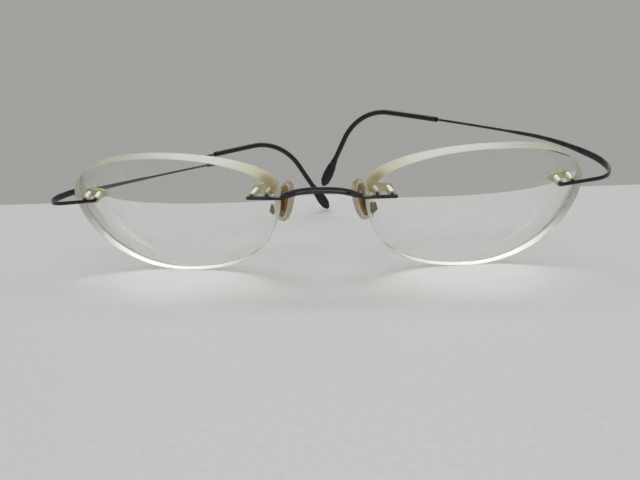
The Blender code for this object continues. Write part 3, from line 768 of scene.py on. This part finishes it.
def near_point(tree, points):
    """1 near each given point of the front or its mirror image, and 0 beyond its reach in metres."""
    place = tree.nodes.new("ShaderNodeTexCoord")
    split = tree.nodes.new("ShaderNodeSeparateXYZ")
    fold = tree.nodes.new("ShaderNodeMath")
    fold.operation = "ABSOLUTE"
    join = tree.nodes.new("ShaderNodeCombineXYZ")
    tree.links.new(place.outputs["Object"], split.inputs["Vector"])
    tree.links.new(split.outputs["X"], fold.inputs[0])
    tree.links.new(fold.outputs["Value"], join.inputs["X"])
    tree.links.new(split.outputs["Y"], join.inputs["Y"])
    tree.links.new(split.outputs["Z"], join.inputs["Z"])
    results = []
    for point, reach in points:
        distance = tree.nodes.new("ShaderNodeVectorMath")
        distance.operation = "DISTANCE"
        distance.inputs[1].default_value = point
        fade = tree.nodes.new("ShaderNodeMapRange")
        fade.interpolation_type = "SMOOTHSTEP"
        fade.inputs["From Min"].default_value = reach
        fade.inputs["From Max"].default_value = reach * FULL_SHARE
        tree.links.new(join.outputs["Vector"], distance.inputs[0])
        tree.links.new(distance.outputs["Value"], fade.inputs["Value"])
        results.append(fade.outputs["Result"])
    return results


def mixed(tree, share, base, colour):
    node = tree.nodes.new("ShaderNodeMix")
    node.data_type = "RGBA"
    tree.links.new(share, node.inputs["Factor"])
    tree.links.new(base, node.inputs["A"])
    node.inputs["B"].default_value = (*colour, 1)
    return node.outputs["Result"]


def frosted_edge():
    """Ground edge: white, yellowed at the temporal corner and brown with age round the nasal mount."""
    tint, passing = (0.93, 0.94, 0.88), (0.35, 0.35, 0.32)
    made = see_through("ground lens edge", tint, (0.42, 0.6), 0.45, LENS_INDEX, passing, 1500.0, 0.3)
    tree = made.node_tree
    shader = tree.nodes["Principled BSDF"]
    colour = shader.inputs["Base Color"].links[0].from_socket
    front = lens_frame(1)
    corner, nasal = ((front @ Vector(place)) * MM for place in (TEMPORAL_CORNER, NASAL_MOUNT))
    spots = ((corner, YELLOW_REACH), (nasal, NASAL_REACH), (nasal, BROWN_REACH))
    tints = ((0.8, 0.79, 0.62), (0.78, 0.76, 0.55), (0.5, 0.4, 0.17))
    for share, tint in zip(near_point(tree, spots), tints):
        colour = mixed(tree, share, colour, tint)
    tree.links.new(colour, shader.inputs["Base Color"])
    return made


def finishes():
    """Solid looks give two colours and a range of roughness; clear ones a tint, roughness and index."""
    return {
        "glass": see_through(
            "lens glass", (0.98, 0.985, 0.972), (0.0, 0.004), 1.0, LENS_INDEX, (0.95, 0.955, 0.94)
        ),
        "ground": frosted_edge(),
        # The frosted edge again, darker and clearer, for its downward faces: painted shade
        "shaded low edge": see_through(
            "lower lens edge painted shade",
            (0.8, 0.8, 0.75),
            (0.44, 0.58),
            0.72,
            LENS_INDEX,
            (0.4, 0.4, 0.37),
            1200.0,
            0.2,
        ),
        "titanium": solid(
            "dark titanium", (0.05, 0.047, 0.05), (0.078, 0.073, 0.076), (0.17, 0.28), 1.0, 500.0, 0.06
        ),
        "sleeve": solid(
            "black sleeve", (0.0045, 0.0045, 0.004), (0.008, 0.008, 0.0075), (0.36, 0.5), 0.0, 700.0, 0.25
        ),
        "plug": see_through(
            "clear plug", (0.97, 0.91, 0.68), (0.08, 0.2), 0.5, 1.49, (0.8, 0.75, 0.55), 900.0
        ),
        "silicone": see_through(
            "aged silicone", (0.84, 0.77, 0.62), (0.26, 0.4), 0.9, 1.36, (0.7, 0.64, 0.52), 260.0
        ),
        "core": solid("amber core", (0.3, 0.17, 0.045), (0.45, 0.29, 0.1), (0.25, 0.4), 0.0, 500.0),
        "screw": solid("screw steel", (0.2, 0.19, 0.18), (0.32, 0.3, 0.28), (0.25, 0.4), 1.0),
        "box": solid("pad box metal", (0.2, 0.17, 0.1), (0.3, 0.26, 0.16), (0.3, 0.45), 1.0),
    }


def finish_of(node, looks):
    """What a CAD node that stays in view is made of: plugs, screws and pad boxes, or else metal pins."""
    for kind in ("plug", "screw", "box"):
        if kind in node:
            return looks[kind]
    return looks["titanium"]


# ---------------------------------------------------------------- stage


def table():
    """The pale table, ending where it meets the wall; the wall itself is the plain grey world."""
    made, tree, shader = new_material("table")
    grey = colours(tree, noise(tree, 900.0), (0.76, 0.76, 0.765), (0.79, 0.79, 0.795))
    tree.links.new(grey, shader.inputs["Base Color"])
    shader.inputs["Roughness"].default_value = 0.55
    bump(tree, shader, noise(tree, 2500.0), 0.12, 0.00005)
    first, last = (Vector((x + ROOT.x, y + ROOT.y, 0)) for x, y in WALL_LINE)
    along = (last - first).normalized()
    middle = (first + last) / 2
    near_right, near_left = (Vector((x, -TABLE_REACH, 0)) for x in (-TABLE_REACH, TABLE_REACH))
    far_right, far_left = middle - along * TABLE_REACH, middle + along * TABLE_REACH
    corners = [corner * MM for corner in (near_right, near_left, far_left, far_right)]
    mesh = bpy.data.meshes.new("table")
    mesh.from_pydata([tuple(corner) for corner in corners], [], [tuple(range(len(corners)))])
    mesh.materials.append(made)
    obj = bpy.data.objects.new("table", mesh)
    bpy.context.scene.collection.objects.link(obj)


def lights():
    """Long soft lamps, all aimed at the origin."""
    for name, at, size, power in LAMPS:
        light = bpy.data.lights.new(name, "AREA")
        light.shape = "RECTANGLE"
        light.size, light.size_y = size
        light.energy = power
        obj = bpy.data.objects.new(name, light)
        obj.location = at
        obj.rotation_mode = "QUATERNION"
        obj.rotation_quaternion = (-Vector(at)).to_track_quat("-Z", "Y")
        # The clear materials already pass lamp light on their own shadow rays
        obj.visible_transmission = False
        bpy.context.scene.collection.objects.link(obj)


def surroundings():
    """Grey room, darker on the viewer's side in what the polished metal mirrors."""
    world = bpy.data.worlds.new("studio")
    bpy.context.scene.world = world
    world.use_nodes = True
    tree = world.node_tree
    place = tree.nodes.new("ShaderNodeTexCoord")
    split = tree.nodes.new("ShaderNodeSeparateXYZ")
    ahead = tree.nodes.new("ShaderNodeMapRange")
    ahead.inputs["From Min"].default_value, ahead.inputs["From Max"].default_value = ROOM_FADE
    path = tree.nodes.new("ShaderNodeLightPath")
    share = tree.nodes.new("ShaderNodeMath")
    share.operation = "MULTIPLY"
    mix = tree.nodes.new("ShaderNodeMix")
    mix.data_type = "RGBA"
    mix.inputs["A"].default_value = ROOM_GREY
    mix.inputs["B"].default_value = ROOM_DARK
    tree.links.new(place.outputs["Generated"], split.inputs["Vector"])
    tree.links.new(split.outputs["Y"], ahead.inputs["Value"])
    tree.links.new(ahead.outputs["Result"], share.inputs[0])
    tree.links.new(path.outputs["Is Glossy Ray"], share.inputs[1])
    tree.links.new(share.outputs["Value"], mix.inputs["Factor"])
    tree.links.new(mix.outputs["Result"], tree.nodes["Background"].inputs["Color"])


def camera():
    pitch, yaw, roll = (math.radians(angle) for angle in (CAMERA_PITCH, CAMERA_YAW, CAMERA_ROLL))
    level = math.cos(pitch)
    ahead = Vector((math.sin(yaw) * level, math.cos(yaw) * level, -math.sin(pitch)))
    right = ahead.cross(Vector((0, 0, 1))).normalized()
    down = ahead.cross(right)
    right = right * math.cos(roll) + down * math.sin(roll)
    down = ahead.cross(right)
    data = bpy.data.cameras.new("camera")
    data.lens, data.sensor_width = CAMERA_LENS, CAMERA_SENSOR
    data.clip_start, data.clip_end = CAMERA_CLIP
    obj = bpy.data.objects.new("camera", data)
    turn = Matrix((right, -down, -ahead)).transposed().to_4x4()
    turn.translation = (Vector(CAMERA_AT) + ROOT) * MM
    obj.matrix_world = turn
    bpy.context.scene.collection.objects.link(obj)
    bpy.context.scene.camera = obj


def dress(frame):
    looks = finishes()
    for name, node in frame["nodes"].items():
        node.data.materials.clear()
        node.data.materials.append(finish_of(name, looks))
    bridge(looks["titanium"])
    for word, side in SIDES.items():
        line = temple_points(word, side)
        pins = list(NASAL_PINS[word]) + temple_pin_places(side, line)
        lens(word, side, pins, (looks["glass"], looks["ground"], looks["shaded low edge"]))
        temple_strip(word, line, looks["titanium"])
        sleeve(word, line, looks["sleeve"])
        pad_skin(word, side, looks["silicone"])
        pad_core(word, side, looks["core"])
        pad_arm(word, side, looks["titanium"])


clear_scene()
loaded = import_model()
camera()
table()
lights()
surroundings()
dress(loaded)
bpy.context.scene.view_settings.view_transform = "Standard"
